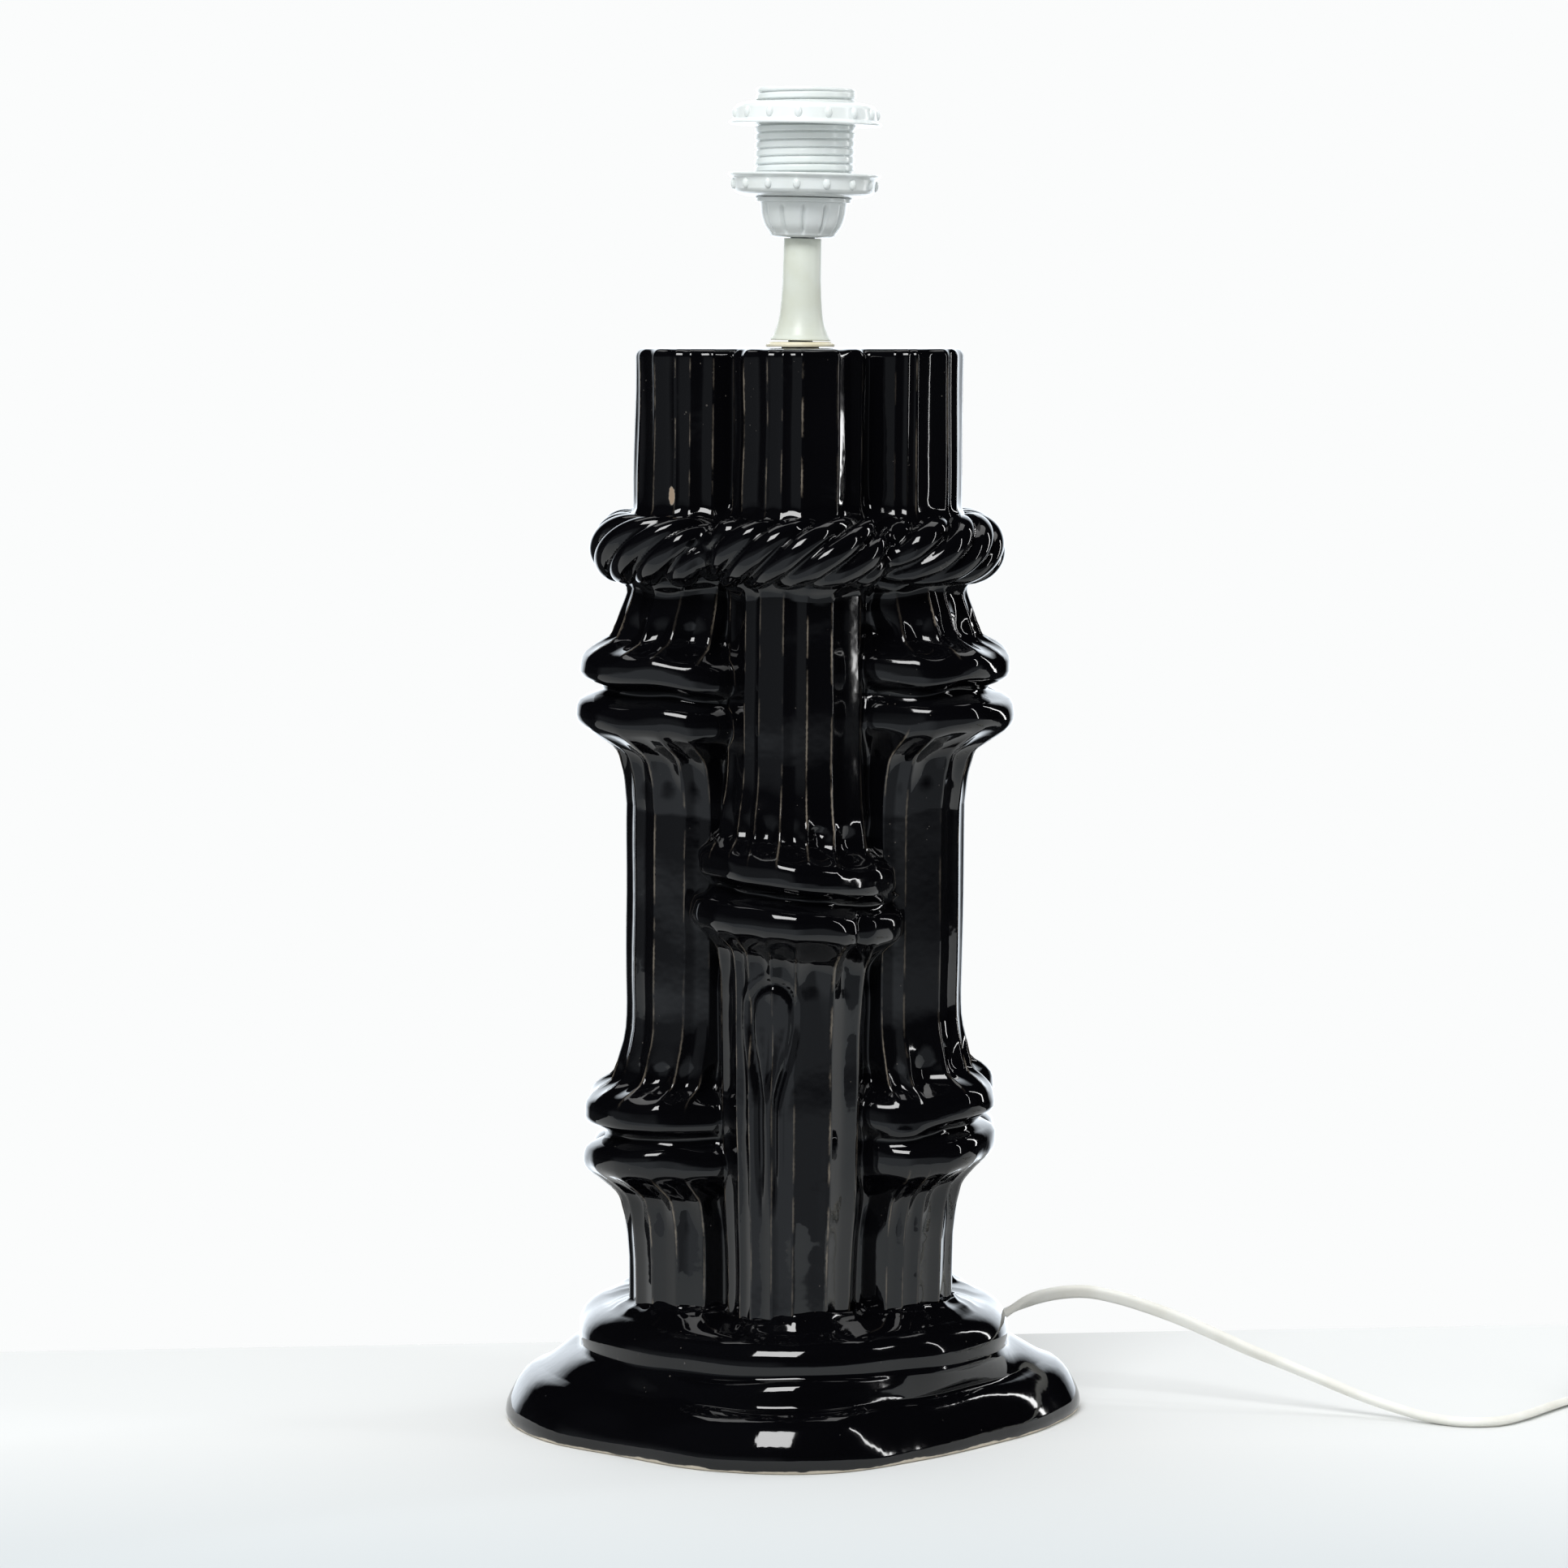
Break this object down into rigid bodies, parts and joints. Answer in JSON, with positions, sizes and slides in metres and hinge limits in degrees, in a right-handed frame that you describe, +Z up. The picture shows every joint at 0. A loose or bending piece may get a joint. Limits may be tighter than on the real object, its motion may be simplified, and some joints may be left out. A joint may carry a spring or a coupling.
{
  "type": "ceramic table lamp",
  "caption": "Table lamp: glossy black ceramic column of bundled cane stalks on a stepped wavy foot, white screw-base lampholder with two shade rings, flat mains cord with switch and plug.",
  "frame": {"origin": "middle of the ceramic foot's underside, on the surface the lamp stands on", "axes": "+Z up along the column, the lamp's front faces -Y, +X to the right seen from the front, where the cord leaves"},
  "size_m": [0.5403, 0.2114, 0.5335],
  "materials": {
    "black_glaze": "high gloss, brown where it breaks over ridges",
    "holder_plastic": "moulded, glossy",
    "neck_plastic": "moulded, semi-gloss, slightly yellowed",
    "seat_plastic": "moulded, ivory",
    "cord_plastic": "soft sheath, satin",
    "core_brown": "insulation",
    "core_blue": "insulation",
    "plated_steel": "zinc plated",
    "contact_brass": "bright",
    "pin_nickel": "nickel plated",
    "black_rubber": "matt",
    "porcelain": "fired, smooth",
    "tie_nylon": "moulded nylon"
  },
  "bodies": {
    "lamp": {"ceramic_body": "black_glaze", "neck_flange": "seat_plastic", "neck_sleeve": "neck_plastic", "threaded_tube": "plated_steel", "rubber_washer": "black_rubber", "steel_washer": "plated_steel", "hex_nut": "plated_steel", "holder_cap": "holder_plastic", "cap_lock_screw": "plated_steel", "holder_sleeve": "holder_plastic", "contact_insert": "porcelain", "side_contact": "contact_brass", "terminal_screw_live": "contact_brass", "terminal_screw_neutral": "contact_brass", "core_live": "core_brown", "core_neutral": "core_blue", "cord_inside": "cord_plastic", "cord_stop_tie": "tie_nylon", "cord_lead": "cord_plastic", "cord_run": "cord_plastic", "cord_tail": "cord_plastic", "cord_coil": "cord_plastic", "coil_tie": "black_rubber", "switch_base": "holder_plastic", "switch_cover": "holder_plastic", "switch_screw_front": "plated_steel", "switch_screw_rear": "plated_steel", "switch_fixed_contact": "contact_brass", "plug_body": "cord_plastic", "plug_pin_live": "pin_nickel", "plug_pin_neutral": "pin_nickel"},
    "upper_ring": {"shade_ring_upper": "holder_plastic"},
    "lower_ring": {"shade_ring_lower": "holder_plastic"},
    "contact_tongue": {"centre_contact": "contact_brass"},
    "rocker": {"switch_rocker": "holder_plastic", "switch_rocker_contact": "contact_brass"}
  },
  "joints": [
    {"name": "upper_ring_travel", "type": "slide", "parent": "lamp", "child": "upper_ring", "axis": [0.0227, 0, 0.9997], "range_m": [-0.019, 0.013]},
    {"name": "lower_ring_travel", "type": "slide", "parent": "lamp", "child": "lower_ring", "axis": [0.0227, 0, 0.9997], "range_m": [0, 0.019]},
    {"name": "contact_tongue_flex", "type": "hinge", "parent": "lamp", "child": "contact_tongue", "pos_m": [-0.00415, 0, 0.50737], "axis": [0, 1, 0], "range_deg": [0, 8], "stiffness_Nm_per_rad": 0.05},
    {"name": "rocker_tip", "type": "hinge", "parent": "lamp", "child": "rocker", "pos_m": [0.352, 0.057, 0.012], "axis": [-0.7071, 0.7071, 0], "range_deg": [0, 14]}
  ]
}
